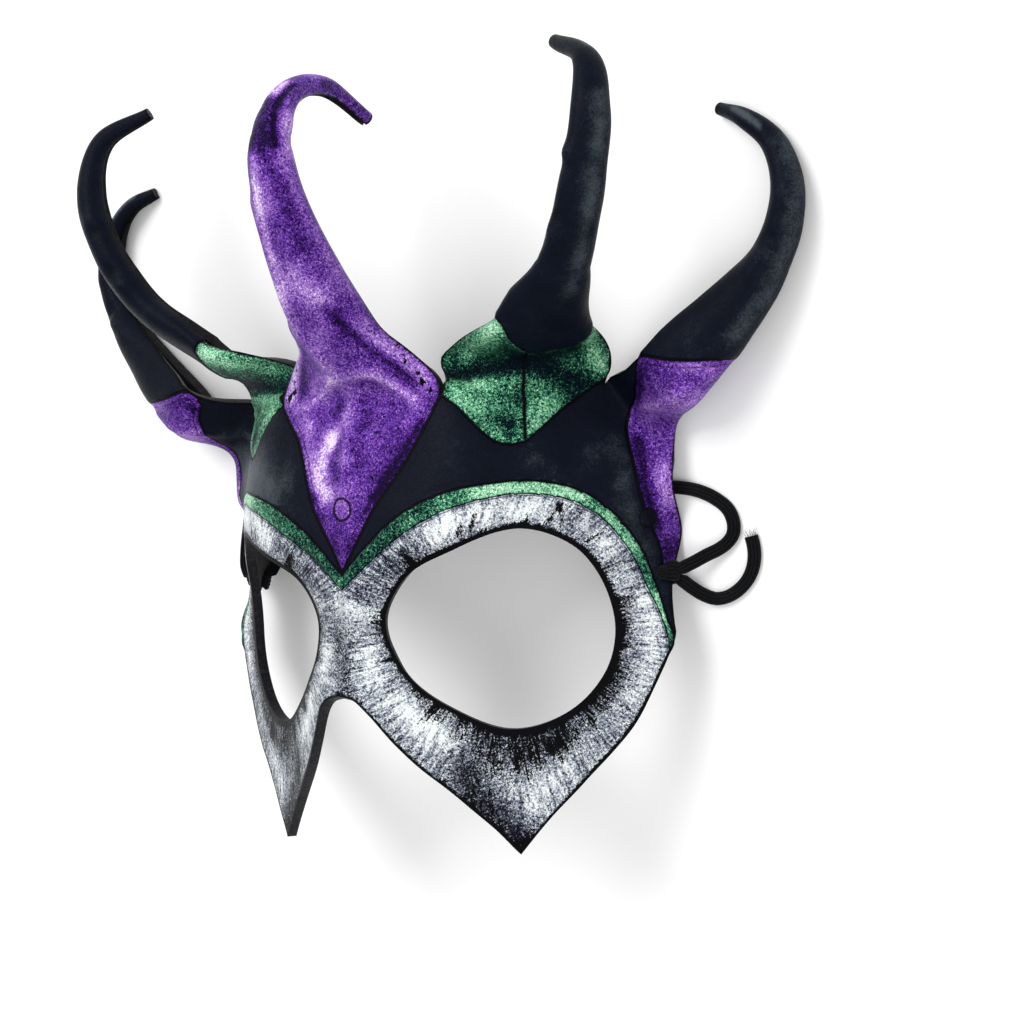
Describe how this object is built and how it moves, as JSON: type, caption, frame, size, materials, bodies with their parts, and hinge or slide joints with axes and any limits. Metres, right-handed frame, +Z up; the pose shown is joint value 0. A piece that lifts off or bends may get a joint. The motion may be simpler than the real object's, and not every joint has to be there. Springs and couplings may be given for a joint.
{
  "type": "leather jester mask",
  "caption": "Half face mask of one sheet of shaped leather, with round eye holes, curled jester horns and an elastic strap, lying on its back.",
  "frame": {"origin": "middle of the footprint of the mask as it lies on its back, on the table", "axes": "+X to the wearer's left, +Y from chin to horns, +Z up, out of the face"},
  "size_m": [0.2218, 0.1872, 0.0582],
  "materials": {
    "painted_leather": "tooled leather painted silver, green, purple and black with a worn metallic brush finish",
    "elastic": "matt black ribbed elastic"
  },
  "bodies": {
    "root": {"leather_mask": "painted_leather", "strap_knot_left": "elastic", "strap_knot_right": "elastic", "elastic_strap": "elastic", "strap_tail_left": "elastic", "strap_tail_right": "elastic"}
  },
  "joints": []
}
